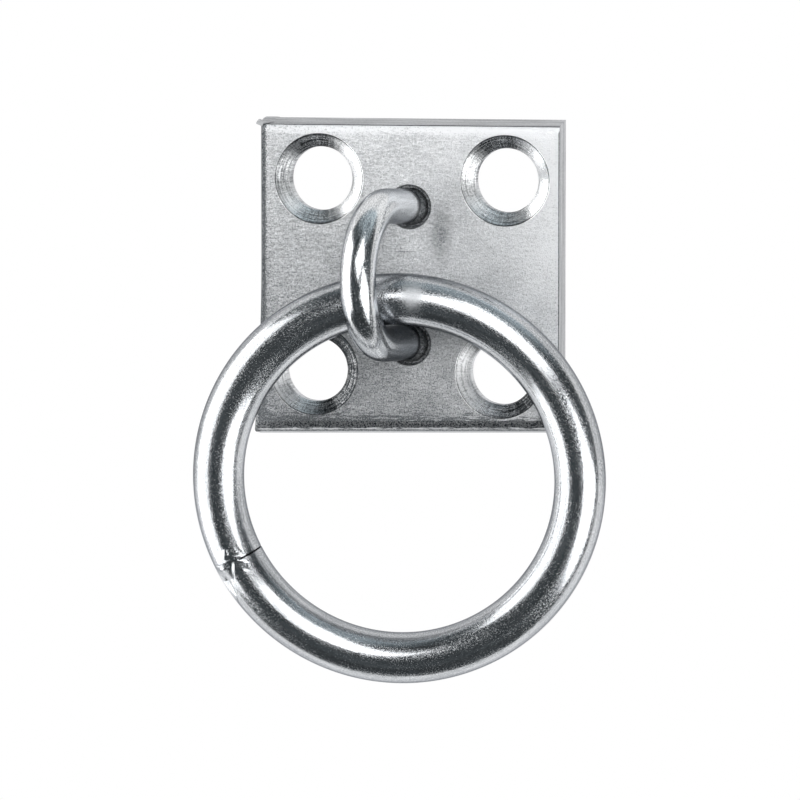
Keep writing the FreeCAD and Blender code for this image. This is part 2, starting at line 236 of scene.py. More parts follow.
def circles(x, z, profile, count):
    """Circles of points round a line along Y. The profile gives each circle's radius and its y."""
    angles = even_angles(count)
    return np.array([[(x + r * math.cos(a), y, z + r * math.sin(a)) for a in angles]
                     for r, y in profile])


def rod_grain(radius, angles, length):
    """The place in a rod's metal: twice across the rod, and along it."""
    return np.stack(np.broadcast_arrays(radius * np.cos(angles), radius * np.sin(angles), length),
                    axis=-1)


def tube_faces(count, length, first=0, joined=False):
    """Quads between loops of points that are numbered loop by loop.

    Joined closes the tube on itself, from its last loop to its first one.
    """
    i = np.arange(count if joined else count - 1)[:, None]
    j = np.arange(length)[None, :]
    next_i = (i + 1) % count
    next_j = (j + 1) % length
    quads = np.stack([i * length + j, next_i * length + j,
                      next_i * length + next_j, i * length + next_j], axis=-1)
    return (quads.reshape(-1, 4) + first).tolist()


class Skin:
    """A piece's mesh while it is built up: points with their grain, and faces with their finishes.

    The grain is a point's place in the metal, in millimetres, for the finish to follow.
    """

    def __init__(self):
        self.points = np.zeros((0, 3))
        self.grain = np.zeros((0, 3))
        self.faces = []
        self.finishes = []

    def add_faces(self, faces, finish):
        self.faces += faces
        self.finishes += [finish] * len(faces)

    def add_tube(self, loops, finishes, inward=False, joined=False, grain=None):
        """Adds loops of points and the faces between them, and gives the first and the last loop.

        The finishes are spread over the faces in even runs. The grain is where the points lie,
        unless it is given.
        """
        count, length = loops.shape[:2]
        first = len(self.points)
        last = first + (count - 1) * length
        self.points = np.concatenate([self.points, loops.reshape(-1, 3)])
        self.grain = np.concatenate([self.grain, (loops if grain is None else grain).reshape(-1, 3)])
        faces = tube_faces(count, length, first, joined)
        self.faces += [face[::-1] for face in faces] if inward else faces
        self.finishes += np.repeat(finishes, len(faces) // len(finishes)).tolist()
        return list(range(first, first + length)), list(range(last, last + length))

    def corner_grain(self, finish):
        """The grain at each corner of each face, for one finish, and the points for the others."""
        corners = np.concatenate(self.faces)
        follows = np.repeat(np.array(self.finishes) == finish, [len(face) for face in self.faces])
        return np.where(follows[:, None], self.grain[corners], self.points[corners])


def add_to_scene(name, data):
    thing = bpy.data.objects.new(name, data)
    bpy.context.scene.collection.objects.link(thing)
    return thing


def add_piece(name, skin, materials, body, node, corner_grain=None):
    """Makes a mesh from a skin, in place of one CAD node."""
    mesh = bpy.data.meshes.new(name)
    mesh.from_pydata((skin.points * MM).tolist(), [], skin.faces)
    for material in materials:
        mesh.materials.append(material)
    mesh.polygons.foreach_set("material_index", skin.finishes)
    grain, domain = (skin.grain, "POINT") if corner_grain is None else (corner_grain, "CORNER")
    attribute = mesh.attributes.new("grain", "FLOAT_VECTOR", domain)
    attribute.data.foreach_set("vector", grain.astype(np.float32).reshape(-1))
    mesh.update()
    mesh.shade_smooth()
    mesh.set_sharp_from_angle(angle=SHARP_ANGLE)
    piece = add_to_scene(name, mesh)
    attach(piece, body)
    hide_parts(node)


# Finishes

# The Mix node's sockets for colours, which share their names with those for other kinds
MIX_SHARE, MIX_FIRST, MIX_SECOND = 0, 6, 7
MIX_COLOUR = 2


class Shading:
    """The shader nodes of a material or of the world."""

    def __init__(self, owner):
        owner.use_nodes = True
        self.nodes = owner.node_tree.nodes
        self.links = owner.node_tree.links

    def feed(self, node, socket, value):
        """Sets a node's input to a number or a colour, or links it to another node's output."""
        if isinstance(value, bpy.types.NodeSocket):
            self.links.new(value, node.inputs[socket])
        else:
            node.inputs[socket].default_value = value

    def add(self, kind, inputs, **settings):
        """Makes a node with its settings and inputs, and gives its outputs."""
        node = self.nodes.new(kind)
        for name, value in settings.items():
            setattr(node, name, value)
        for socket, value in inputs.items():
            self.feed(node, socket, value)
        return node.outputs

    def math(self, operation, *values):
        return self.add("ShaderNodeMath", dict(enumerate(values)), operation=operation)[0]

    def times(self, one, other):
        return self.math("MULTIPLY", one, other)

    def plus(self, value, part, share=1.0):
        """A value with a share of another one added to it."""
        return self.math("MULTIPLY_ADD", part, share, value)

    def centred(self, value):
        """Makes a value that lies round one half lie round nothing."""
        return self.math("ADD", value, -0.5)

    def fade(self, value, start, end, low, high):
        """Runs from low to high while a value runs from start to end."""
        ends = {"From Min": start, "From Max": end, "To Min": low, "To Max": high}
        return self.add("ShaderNodeMapRange", {"Value": value, **ends})["Result"]

    def noise(self, place, scale, detail, roughness):
        inputs = {"Vector": place, "Scale": scale, "Detail": detail, "Roughness": roughness}
        return self.add("ShaderNodeTexNoise", inputs)["Fac"]

    def split(self, vector):
        """The three lengths of a vector."""
        return self.add("ShaderNodeSeparateXYZ", {"Vector": vector})

    def object_place(self):
        return self.add("ShaderNodeTexCoord", {})["Object"]


class Finish(Shading):
    """A metal finish that is built node by node on a Principled shader."""

    def __init__(self, name, edge_tint):
        self.material = bpy.data.materials.new(name)
        super().__init__(self.material)
        self.shader = self.nodes["Principled BSDF"]
        self.shader.inputs["Metallic"].default_value = 1.0
        self.shader.inputs["Specular Tint"].default_value = (*edge_tint, 1)
        self.place = self.add("ShaderNodeAttribute", {}, attribute_name="grain")["Vector"]

    def stretched(self, scale, shift=(0, 0, 0)):
        """The place in the metal, along which a small scale draws things out."""
        inputs = {"Vector": self.place, "Location": shift, "Scale": scale}
        return self.add("ShaderNodeMapping", inputs)["Vector"]

    def upper(self):
        """Nothing on the part's lower half and one on its upper half."""
        return self.fade(self.split(self.object_place())[2], -MM, MM, 0, 1)

    def spot(self, centre, half_sizes):
        """One inside an ellipsoid round a place in the metal, fading to nothing at its border."""
        scale = [1 / half for half in half_sizes]
        shift = [-c * s for c, s in zip(centre, scale)]
        inputs = {0: self.stretched(scale, shift)}
        length = self.add("ShaderNodeVectorMath", inputs, operation="LENGTH")["Value"]
        return self.fade(length, 0.2, 1, 1, 0)

    def colour(self, dark, light, share):
        inputs = {MIX_SHARE: share, MIX_FIRST: (*dark, 1), MIX_SECOND: (*light, 1)}
        mixed = self.add("ShaderNodeMix", inputs, data_type="RGBA")
        self.feed(self.shader, "Base Color", mixed[MIX_COLOUR])

    def roughness(self, value):
        self.feed(self.shader, "Roughness", value)

    def bump(self, height, strength, distance):
        inputs = {"Height": height, "Strength": strength, "Distance": distance * MM}
        self.feed(self.shader, "Normal", self.add("ShaderNodeBump", inputs)["Normal"])


def rod_finish(name, dark, light, edge_tint, gloss, frost, relief, painted_light_along=None, dull_patch_painted_reflection=None):
    """Bright zinc on drawn rod: glossy and grainy, with fine lines along the rod.

    The painted light along the rod says how its shade shifts, paler or darker as reflections would
    make it: from and to which length, and by how much at each.
    The dull patch gives the middle and half sizes of a place that is dull, and painted pale as a
    painted reflection.
    """
    finish = Finish(name, edge_tint)
    lines = finish.noise(finish.stretched((1, 1, 0.06)), 1.8, 4, 0.65)
    fine_lines = finish.noise(finish.stretched((1, 1, 0.15)), 5.0, 3, 0.6)
    patches = finish.noise(finish.stretched((1, 1, 0.5)), 0.5, 4, 0.6)
    grain = finish.noise(finish.stretched((1, 1, 0.7)), 5.6, 2, 0.8)
    specks = finish.noise(finish.stretched((1, 1, 0.8)), 6.5, 1, 0.6)

    shade = finish.plus(finish.times(grain, 0.65), lines, 0.35)
    shade = finish.fade(shade, 0.38, 0.62, 0, 1)
    # Painted light and shade along the rod: the shade shifts with the length
    if painted_light_along:
        shade = finish.plus(shade, finish.fade(finish.split(finish.place)[2], *painted_light_along))
    frosted = finish.fade(grain, 0.42, 0.68, 0, 1)
    frosted = finish.times(frosted, finish.fade(patches, 0.35, 0.65, 0.6, 1))
    # A dull patch, painted pale as a painted reflection
    if dull_patch_painted_reflection:
        dull_reflection_patch = finish.spot(*dull_patch_painted_reflection)
        shade = finish.plus(shade, dull_reflection_patch, 0.5)
        frosted = finish.plus(frosted, dull_reflection_patch, 1.3)
    finish.colour(dark, light, shade)
    finish.roughness(finish.plus(gloss, frosted, frost))

    height = finish.plus(fine_lines, lines)
    height = finish.plus(height, grain, 1.1)
    height = finish.plus(height, finish.fade(specks, 0.56, 0.66, 0, 1), 2.2)
    finish.bump(height, relief, 0.05)
    return finish.material


def with_marks(finish, tone, sand):
    """A tone with the pits of the plate's front, deepest at its lower left, its smear and scratch."""
    z = finish.split(finish.place)[2]
    pits = finish.fade(sand, 0.36, 0.44, 1, 0)
    pitted = finish.spot(*PITTED)
    depth = finish.plus(finish.fade(z, -24, 18, 0.45, 0.1), pitted, 0.5)
    tone = finish.plus(tone, finish.times(pits, depth), -1)
    tone = finish.plus(tone, pitted, -0.12)
    smear = finish.times(finish.spot(*SMEAR), finish.fade(sand, 0.42, 0.58, 0.2, 1))
    tone = finish.plus(tone, smear, -0.6)
    return finish.plus(tone, finish.spot(*SCRATCH), -0.35)


def with_drawn_edges(finish, tone, sand, front):
    """A tone with the drawn skin of the left and bottom edges, which reaches a little way in."""
    streaks = finish.noise(finish.stretched((0.12, 1, 1)), 3.0, 3, 0.7)
    x, _, z = finish.split(finish.place)
    left = finish.fade(finish.plus(x, sand, 1.2), -23.45, -23.15, 1, 0)
    low = finish.fade(finish.plus(z, finish.centred(streaks), 8), -22.9, -22.1, 0.9, 0)
    drawn = finish.times(front, finish.math("MAXIMUM", left, low))
    skin = finish.fade(sand, 0.4, 0.64, -0.35, 0.35)
    return finish.plus(tone, drawn, finish.math("SUBTRACT", skin, tone))


def plate_face_finish():
    """Satin zinc on rolled bar with a smear, a scratch and pits, and painted light and shade: paler
    above than below, darker at the left, paler to the right and along the top edge, and darker
    towards the back.
    """
    finish = Finish("plate_satin", (0.8, 0.81, 0.83))
    clouds = finish.noise(finish.place, 0.13, 4, 0.55)
    grain = finish.noise(finish.place, 2.4, 4, 0.7)
    sand = finish.noise(finish.place, 4.6, 2, 0.7)
    rolling = finish.noise(finish.stretched((0.25, 1, 1)), 4.5, 2, 0.7)
    x, y, z = finish.split(finish.place)
    front = finish.fade(y, -4.5, -3.5, 1, 0)

    # Painted light and shade: paler above than below, darker at the left, paler to the right of the
    # front, darker towards the back, and a painted highlight along the top edge
    tone = finish.fade(z, -22, 22, 0.37, 0.76)
    tone = finish.plus(tone, finish.fade(x, -22, 4, -0.07, 0))
    tone = finish.plus(tone, front, finish.fade(x, 4, 24, 0, 0.36))
    tone = finish.plus(tone, finish.fade(y, -3, -0.5, 0, -0.2))
    tone = finish.plus(tone, finish.fade(z, 23, 24, 0, 0.3))
    tone = finish.plus(tone, finish.centred(clouds), 0.5)
    speckle = finish.times(finish.centred(grain), 1.2)
    speckle = finish.plus(speckle, finish.centred(sand), 0.9)
    speckle = finish.plus(speckle, finish.centred(rolling), 0.9)
    tone = finish.plus(tone, speckle, finish.fade(x, -20, 15, 1.25, 0.7))
    tone = with_marks(finish, tone, sand)
    tone = with_drawn_edges(finish, tone, sand, front)
    finish.colour((0.15, 0.16, 0.168), (0.95, 0.955, 0.965), tone)
    finish.roughness(finish.fade(grain, 0.3, 0.7, 0.42, 0.56))
    finish.bump(finish.plus(grain, sand, 1.2), 0.8, 0.05)
    return finish.material


def cut_edge_finish():
    """Sheared steel under zinc: dull, with faint lines along the cut."""
    finish = Finish("plate_cut_edge", (0.7, 0.705, 0.715))
    lines = finish.noise(finish.stretched((0.05, 1.2, 0.05)), 1.4, 3, 0.65)
    specks = finish.noise(finish.place, 3.0, 3, 0.7)
    shade = finish.plus(finish.times(specks, 0.3), lines, 0.7)
    finish.colour((0.34, 0.345, 0.355), (0.68, 0.685, 0.695), finish.fade(shade, 0.38, 0.62, 0, 1))
    finish.roughness(finish.fade(lines, 0.3, 0.7, 0.38, 0.5))
    finish.bump(lines, 0.5, 0.02)
    return finish.material


def painted_shade_grain_finish(name, pale_grains):
    """Grainy zinc painted dark: painted dark reflections on the plate's rolled edges and rims, and
    painted shade in the gaps of the staple's holes.

    Pale grains is how pale its grains are above the plate's bottom edge. At the left they are paler
    still. Along the bottom the skin turns into a painted highlight, a bright line along the fold, and
    then into the grey of the wall.
    """
    finish = Finish(name, (0.25, 0.26, 0.27))
    sand = finish.noise(finish.place, 3.6, 3, 0.75)
    streaks = finish.noise(finish.stretched((0.15, 1, 1)), 3.0, 3, 0.7)
    x, y, z = finish.split(finish.place)
    left = finish.fade(x, -24.2, -23, 1.4, 1)
    share = finish.times(left, finish.fade(z, -22.9, -22.5, 1, pale_grains))
    shade = finish.times(share, finish.fade(sand, 0.4, 0.6, 0, 0.45))

    wavy = finish.plus(y, finish.centred(streaks), 0.9)
    # A painted highlight: a bright line along the bottom's fold
    line = finish.times(finish.fade(wavy, -4.6, -4.5, 0, 1), finish.fade(wavy, -4.3, -4.2, 1, 0))
    line = finish.times(line, finish.fade(streaks, 0.44, 0.58, 0.1, 1.5))
    wall = finish.fade(y, -4.02, -3.92, 0, 0.5)
    low = finish.times(finish.fade(z, -22, -20, 1, 0), finish.fade(x, -25.6, -24.9, 0, 1))
    shade = finish.plus(shade, low, finish.plus(line, wall))
    # The dark colour is painted shade and painted dark reflection; the grains are the skin's own
    finish.colour((0.025, 0.03, 0.034), (0.62, 0.63, 0.64), shade)
    finish.roughness(finish.fade(sand, 0.3, 0.7, 0.35, 0.6))
    finish.bump(sand, 1.0, 0.06)
    return finish.material


def turned_finish():
    """The countersinks as the cutter left them: glossy turned rings with chatter across them, and
    painted light and shade: paler to the right and at the lower left in the upper holes, paler to the
    left and darker to the right in the lower ones, and darker at the top of each.

    Here the grain's first length runs down the cone, and the other two go round it.
    """
    finish = Finish("turned_zinc", (0.5, 0.51, 0.53))
    rings = finish.noise(finish.stretched((4.6, 0.22, 0.22)), 1.0, 3, 0.6)
    chatter = finish.noise(finish.stretched((0.4, 2.6, 2.6)), 1.0, 4, 0.75)
    grain = finish.noise(finish.place, 4.2, 2, 0.7)
    shade = finish.plus(finish.times(chatter, 0.27), rings, 0.4)
    shade = finish.plus(shade, grain, 0.33)
    _, across, up = finish.split(finish.place)
    upper = finish.upper()
    lower = finish.math("SUBTRACT", 1.0, upper)

    tone = finish.fade(shade, 0.42, 0.6, 0.13, 1)
    # Painted light and shade: paler to the right and at the lower left in the upper holes, paler to
    # the left and darker to the right in the lower ones, darker at the top
    tone = finish.plus(tone, upper, finish.fade(across, 1, 5, 0, 0.9))
    tone = finish.plus(tone, lower, finish.fade(across, -2.5, 3.5, 0.3, -0.45))
    tone = finish.plus(tone, finish.fade(up, 3.5, 7, 0, 0.3), -1)
    low_left = finish.times(finish.fade(up, -1, -4, 0, 1), finish.fade(across, -1, -5, 0, 1))
    tone = finish.plus(tone, low_left, finish.times(upper, 0.35))
    finish.colour((0.045, 0.05, 0.054), (0.96, 0.965, 0.97), tone)
    finish.roughness(finish.fade(across, -6.5, -1, 0.36, 0.16))
    height = finish.plus(rings, chatter, 1.2)
    height = finish.plus(height, grain, 0.5)
    finish.bump(height, 0.32, 0.06)
    return finish.material


# Ring

def even_stretches(ends, counts):
    """Places that go up in even steps from each end to the next, with a count for each stretch."""
    return np.concatenate([np.linspace(start, end, count, endpoint=False)
                           for start, end, count in zip(ends, ends[1:], counts)])


def ring_directions():
    """The ring's centre and its own axes: across, forward out of its plane, and up."""
    low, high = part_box("ring")
    centre = np.array((low + high) / 2) / MM
    across = np.array([math.cos(RING_TURN), math.sin(RING_TURN), 0.0])
    out = np.array([math.sin(RING_TURN), -math.cos(RING_TURN), 0.0])
    up = math.cos(RING_LIE) * np.array([0.0, 0.0, 1.0]) + math.sin(RING_LIE) * out
    forward = np.cross(across, up)
    return centre, across, forward, up


def ground_depth(along, across):
    """How deep the weld's ground side lies below the rod."""
    (a, b), (c, d) = GROUND_LINE
    length = math.hypot(c - a, d - b)
    outside = ((d - b) * (along - a) - (c - a) * (across - b)) / length
    share = np.clip(outside / GROUND_EDGE, 0, 1)
    start, end = GROUND_ENDS
    share = share * np.clip((end - along) / (end - start), 0, 1)
    outer, inner = GROUND_SIDES
    share = share * np.clip((across - outer) / (inner - outer), 0, 1)
    return share * np.clip(GROUND_SLOPE * (along - a), 0, GROUND_DEPTH)


def seam_depth(along, around):
    """How deep the butt joint gapes."""
    share = np.clip((around - OPEN_START) / OPEN_FADE, 0, 1)
    share = share * np.clip((OPEN_END - around) / OPEN_FADE, 0, 1)
    return SEAM_DEPTH * share * np.clip(1 - np.abs(along) / SEAM_HALF_WIDTH, 0, 1)


def weld_relief(along, around):
    """How far the weld stands above the rod, from its place along the ring and round the rod."""
    # Across runs round the rod from its front, which is a quarter turn from its outer side
    across = (around - math.pi / 2) * RING_ROD_RADIUS
    height = -ground_depth(along, across)
    for place, angle, heading, half_length, half_width, rise in WELD_MARKS:
        run = along - place
        aside = across - math.radians(angle - 90) * RING_ROD_RADIUS
        turn = math.radians(heading)
        ahead = (run * math.cos(turn) + aside * math.sin(turn)) / half_length
        aside = (aside * math.cos(turn) - run * math.sin(turn)) / half_width
        height = height + rise * np.exp(-(ahead ** 2 + aside ** 2) ** MARK_FALL)
    return height - seam_depth(along, around)


def make_ring(material):
    centre, across, forward, up = ring_directions()
    u = even_stretches(RING_ENDS, RING_STEPS)[:, None]
    v = np.radians(even_stretches(ROUND_ENDS, ROUND_STEPS))[None, :]
    outward = np.cos(u)[..., None] * across + np.sin(u)[..., None] * up
    normal = np.cos(v)[..., None] * outward + np.sin(v)[..., None] * forward
    points = centre + RING_RADIUS * outward + RING_ROD_RADIUS * normal

    # How far a place lies beyond the seam, or before it where that is nearer
    beyond = np.where(u > SEAM_ANGLE + math.pi, u - 2 * math.pi, u) - SEAM_ANGLE
    along = beyond * (RING_RADIUS + RING_ROD_RADIUS * np.cos(v))
    points = points + weld_relief(along, v)[..., None] * normal

    skin = Skin()
    grain = rod_grain(RING_ROD_RADIUS, v, (u - SEAM_ANGLE) * RING_RADIUS)
    skin.add_tube(points, [0], joined=True, grain=grain)
    add_piece("ring_skin", skin, [material], "swinging_ring", "ring")


# Staple

def staple_path():
    """Points along the staple's middle line with their tangents, and the way square to its plane."""
    out = np.array([-math.cos(LEAN_UP) * math.sin(LEAN_LEFT),
                    -math.cos(LEAN_UP) * math.cos(LEAN_LEFT), math.sin(LEAN_UP)])
    rise = np.array([math.sin(LEAN_UP) * math.sin(LEAN_LEFT),
                     math.sin(LEAN_UP) * math.cos(LEAN_LEFT), math.cos(LEAN_UP)])
    # The legs cross the middles of their holes halfway through the plate
    foot_back = PLATE_THICK / 2 - FOOT_DEPTH
    foot_side = foot_back * math.tan(LEAN_LEFT)
    foot_drop = foot_back * math.tan(LEAN_UP) / math.cos(LEAN_LEFT)
    foot = np.array([foot_side, -FOOT_DEPTH, STAPLE_RISE + STAPLE_PITCH / 2 - foot_drop])
    leg = STAPLE_LEG + foot_back
    radius = STAPLE_PITCH / 2 * math.cos(LEAN_UP)
    centre = foot + out * leg - rise * radius
    foot_low = foot - 2 * radius * rise
    below = 2 * radius * math.tan(LEAN_UP)

    stations = [(foot + out * s, out) for s in np.linspace(0, leg, LEG_STEPS)]
    for turn in np.linspace(0, math.pi, BOW_STEPS)[1:-1]:
        spot = centre + radius * (math.cos(turn) * rise + math.sin(turn) * out)
        stations.append((spot, math.cos(turn) * out - math.sin(turn) * rise))
    stations += [(foot_low + out * s, -out) for s in np.linspace(leg, -below, LOWER_LEG_STEPS)]
    path, tangents = (np.array(column) for column in zip(*stations))
    return path, tangents, np.cross(out, rise)


def foot_profile():
    """A riveted foot's radii and y, up its smooth head and then from its swelling up its collar."""
    narrowing = RIVET_CLEARANCE / math.cos(RIVET_HALF_ANGLE)
    rim = RIVET_HEAD_RADIUS - RIVET_SINK - narrowing
    throat = STAPLE_HOLE_RADIUS - narrowing
    edge = SWELLING_EDGE - PLATE_THICK
    step_in, step_up = SWELLING_STEP
    head = [(0, -RIVET_SINK), (RIVET_FLAT_RADIUS, -RIVET_SINK)]
    head += [(rim - inset, -RIVET_SINK - lift) for inset, lift in RIVET_EDGE]
    head.append((throat, -RIVET_DEPTH))
    swelling = [(throat, edge), (throat - step_in, edge - step_up)]
    return head, swelling + [(COLLAR_RADIUS - inset, edge - lift) for inset, lift in COLLAR]


def make_staple(materials):
    path, tangents, side = staple_path()
    angles = even_angles(ROD_POINTS)
    lift = np.cross(side, tangents)
    round_rod = (np.cos(angles)[None, :, None] * side
                 + np.sin(angles)[None, :, None] * lift[:, None, :])
    length = np.concatenate([[0], np.cumsum(np.linalg.norm(np.diff(path, axis=0), axis=1))])
    skin = Skin()
    skin.add_tube(path[:, None, :] + STAPLE_RADIUS * round_rod, [ROD],
                  grain=rod_grain(STAPLE_RADIUS, angles[None, :], length[:, None]))

    head, swelling = foot_profile()
    # The foot's swelling and collar deep in the hole are painted dark, as painted shade in the gap
    # round the leg
    finishes = [ROD] * len(head) + [FOOT_PAINTED_SHADE] * (len(swelling) - 1)
    for z in (STAPLE_RISE + STAPLE_PITCH / 2, STAPLE_RISE - STAPLE_PITCH / 2):
        skin.add_tube(circles(0, z, head + swelling, ROD_POINTS), finishes)
    add_piece("staple_skin", skin, materials, "fixture", "staple")


# Plate

# What the triangulation keeps, which is all inside the outline, and how near points are the same
INSIDE_OUTLINE = 1
SAME_POINT = 1e-7


def left_edge(z):
    """The plate's left edge: straight above, and swinging out in an arc to the bottom corner."""
    swing = (FOOT_FLARE_RISE ** 2 + FOOT_FLARE ** 2) / 2 / FOOT_FLARE
    below = np.clip(FOOT_FLARE_RISE - FOOT_HEIGHT - z, 0, None)
    return -PLATE_HALF_WIDTH - (swing - np.sqrt(swing ** 2 - below ** 2))


def rolled(depth, radius):
    """How far an edge that is rounded with this radius stands in at a depth behind the front."""
    t = np.clip(depth / radius, 0, 1)
    return radius * (1 - np.sqrt(np.clip(1 - (1 - t) ** 2, 0, 1)))


def eased(depth, roll):
    """How far an edge stands in at a depth behind the front, from its list of depths and lengths."""
    depths, lengths = zip(*roll)
    return np.interp(depth, depths, lengths)


def outline(depth, line):
    """The plate's outline at a depth behind its front, from the top left corner clockwise.

    Line is how far the top and right walls stand in at this depth, which makes the lines of the cut.
    """
    top = PLATE_HALF_HEIGHT + TOP_FLARE * depth / PLATE_THICK - eased(depth, TOP_ROLL) - line
    bottom = -PLATE_HALF_HEIGHT - BOTTOM_FLARE * depth / PLATE_THICK + rolled(depth, BOTTOM_ROLLOVER)
    left_in = rolled(depth, LEFT_ROLLOVER)
    right = PLATE_HALF_WIDTH - eased(depth, RIGHT_ROLL) - line
    share = np.linspace(0, 1, SIDE_POINTS, endpoint=False)
    top_left = left_edge(top) + left_in
    bottom_left = left_edge(bottom - PLATE_HALF_WIDTH * BOTTOM_SLOPE) + left_in
    low_left = bottom + bottom_left * BOTTOM_SLOPE
    low_right = bottom + right * BOTTOM_SLOPE
    up_left = low_left + (top - low_left) * share
    along_bottom = right + (bottom_left - right) * share
    x = np.concatenate([top_left + (right - top_left) * share, np.full(SIDE_POINTS, right),
                        along_bottom, left_edge(up_left) + left_in])
    z = np.concatenate([np.full(SIDE_POINTS, top), top + (low_right - top) * share,
                        bottom + along_bottom * BOTTOM_SLOPE, up_left])
    return np.stack([x, np.full_like(x, depth - PLATE_THICK), z], axis=-1)


def wall_finishes():
    """Finishes of the top, right, bottom and left walls, from each depth to the next."""
    finishes = []
    for depth in WALL_DEPTHS[1:]:
        for start, end in PAINTED_SHADE_GRAIN_DEPTHS:
            if depth <= start:
                finishes.append(FACE)
            elif depth <= end:
                finishes.append(PAINTED_SHADE_GRAIN)
            else:
                finishes.append(CUT)
    return finishes


def add_hole(skin, x, z, profile, finishes, grain=None):
    """Adds a hole's wall from its profile of radii and depths behind the plate's front.

    Gives its mouths in the front and in the back: a loop of points with its place and its radius.
    """
    heights = [(radius, depth - PLATE_THICK) for radius, depth in profile]
    loops = circles(x, z, heights, HOLE_POINTS)
    front, back = skin.add_tube(loops, finishes, inward=True, grain=grain)
    return (front, (x, z, profile[0][0])), (back, (x, z, profile[-1][0]))


def sink_profile():
    """A screw hole's radii and depths: its rim, countersink and wall, and its torn back edge."""
    profile = [(SCREW_SINK_RADIUS + outside, depth) for outside, depth in SINK_RIM]
    for share in np.linspace(0, 1, SINK_STEPS)[1:]:
        radius = SCREW_SINK_RADIUS + (SCREW_HOLE_RADIUS - SCREW_SINK_RADIUS) * share
        mark = TOOL_MARK * math.sin(share * TOOL_MARK_WAVE) * math.sin(math.pi * share)
        profile.append((radius + mark, SCREW_SINK_DEPTH * share))
    profile += [(SCREW_HOLE_RADIUS, SCREW_SINK_DEPTH + depth) for depth in HOLE_WALL_DEPTHS]
    return profile + [(SCREW_HOLE_RADIUS, PLATE_THICK - BREAKOUT_DEPTH),
                      (SCREW_HOLE_RADIUS + BREAKOUT_WIDTH, PLATE_THICK)]


def sink_grain(profile, shift):
    """The place in a countersink's metal: down its cone with a shift, and twice round it."""
    turns = even_angles(HOLE_POINTS)
    down = np.array([[shift + (SCREW_SINK_RADIUS - radius) / math.sin(SCREW_SINK_HALF_ANGLE)]
                     for radius, _ in profile])
    return np.stack(np.broadcast_arrays(down, SCREW_SINK_RADIUS * np.cos(turns),
                                        SCREW_SINK_RADIUS * np.sin(turns)), axis=-1)


def add_screw_holes(skin):
    profile = sink_profile()
    finishes = [TURNED] * (len(profile) - 1)
    # The rim's dark band is painted dark, as painted shade
    finishes[DARK_BAND] = PAINTED_SHADE_GRAIN
    mouths = []
    for side in (-1, 1):
        for height in (-1, 1):
            x = side * SCREW_PITCH_ACROSS / 2 + height * SCREW_LEAN
            z = SCREW_RISE + height * SCREW_PITCH_UP / 2
            grain = sink_grain(profile, SINK_GRAIN_STEP * (len(mouths) + 1))
            mouths.append(add_hole(skin, x, z, profile, finishes, grain))
    return mouths


def add_staple_seats(skin):
    profile = [(STAPLE_HOLE_RADIUS + SEAT_RIM_WIDTH, 0)]
    profile += [(STAPLE_HOLE_RADIUS, depth) for depth in (*SEAT_DEPTHS, PLATE_THICK - RIVET_DEPTH)]
    profile.append((RIVET_HEAD_RADIUS, PLATE_THICK))
    return [add_hole(skin, 0, z, profile, [FACE])
            for z in (STAPLE_RISE - STAPLE_PITCH / 2, STAPLE_RISE + STAPLE_PITCH / 2)]


def fill_face(points, outer, mouths, turned_back):
    """Triangles of a flat face between its outline and the mouths of its holes."""
    loops = [outer] + [loop for loop, _ in mouths]
    index = [i for loop in loops for i in loop]
    flat = [Vector((points[i][0], points[i][2])) for i in index]
    edges = []
    start = 0
    for loop in loops:
        edges += [(start + k, start + (k + 1) % len(loop)) for k in range(len(loop))]
        start += len(loop)
    places, _, triangles, origins, _, _ = delaunay_2d_cdt(flat, edges, [], INSIDE_OUTLINE, SAME_POINT)
    faces = []
    for triangle in triangles:
        a, b, c = (places[k] for k in triangle)
        middle = (a + b + c) / 3
        if any(math.hypot(middle.x - x, middle.y - z) < radius for _, (x, z, radius) in mouths):
            continue
        face = [index[origins[k][0]] for k in triangle]
        faces.append(face if turned_back else face[::-1])
    return faces


def add_lump(skin, corners, depths, shares, ragged):
    """Adds a lump on the plate's top left corner, with ragged sides and closed ends.

    Depths and shares give its back end first: how deep it lies, and at which share of its size.
    """
    steps = np.linspace(0, 1, LUMP_STEPS)
    section_depths = depths[0] + (depths[1] - depths[0]) * steps
    section_shares = shares[0] + (shares[1] - shares[0]) * steps - ragged * rng.random(LUMP_STEPS)
    sections = []
    for depth, share in zip(section_depths, section_shares):
        flat = np.array(corners) * share
        for cut in CORNER_CUTS:
            following = np.roll(flat, -1, axis=0)
            flat = np.stack([flat + (following - flat) * cut,
                             following + (flat - following) * cut], axis=1).reshape(-1, 2)
        x = flat[:, 0] - PLATE_HALF_WIDTH
        z = np.minimum(flat[:, 1], BURR_TOP) + PLATE_HALF_HEIGHT
        sections.append(np.stack([x, np.full(len(flat), depth - PLATE_THICK), z], axis=-1))
    back, front = skin.add_tube(np.array(sections), [CUT])
    skin.add_faces([back[::-1], front], CUT)


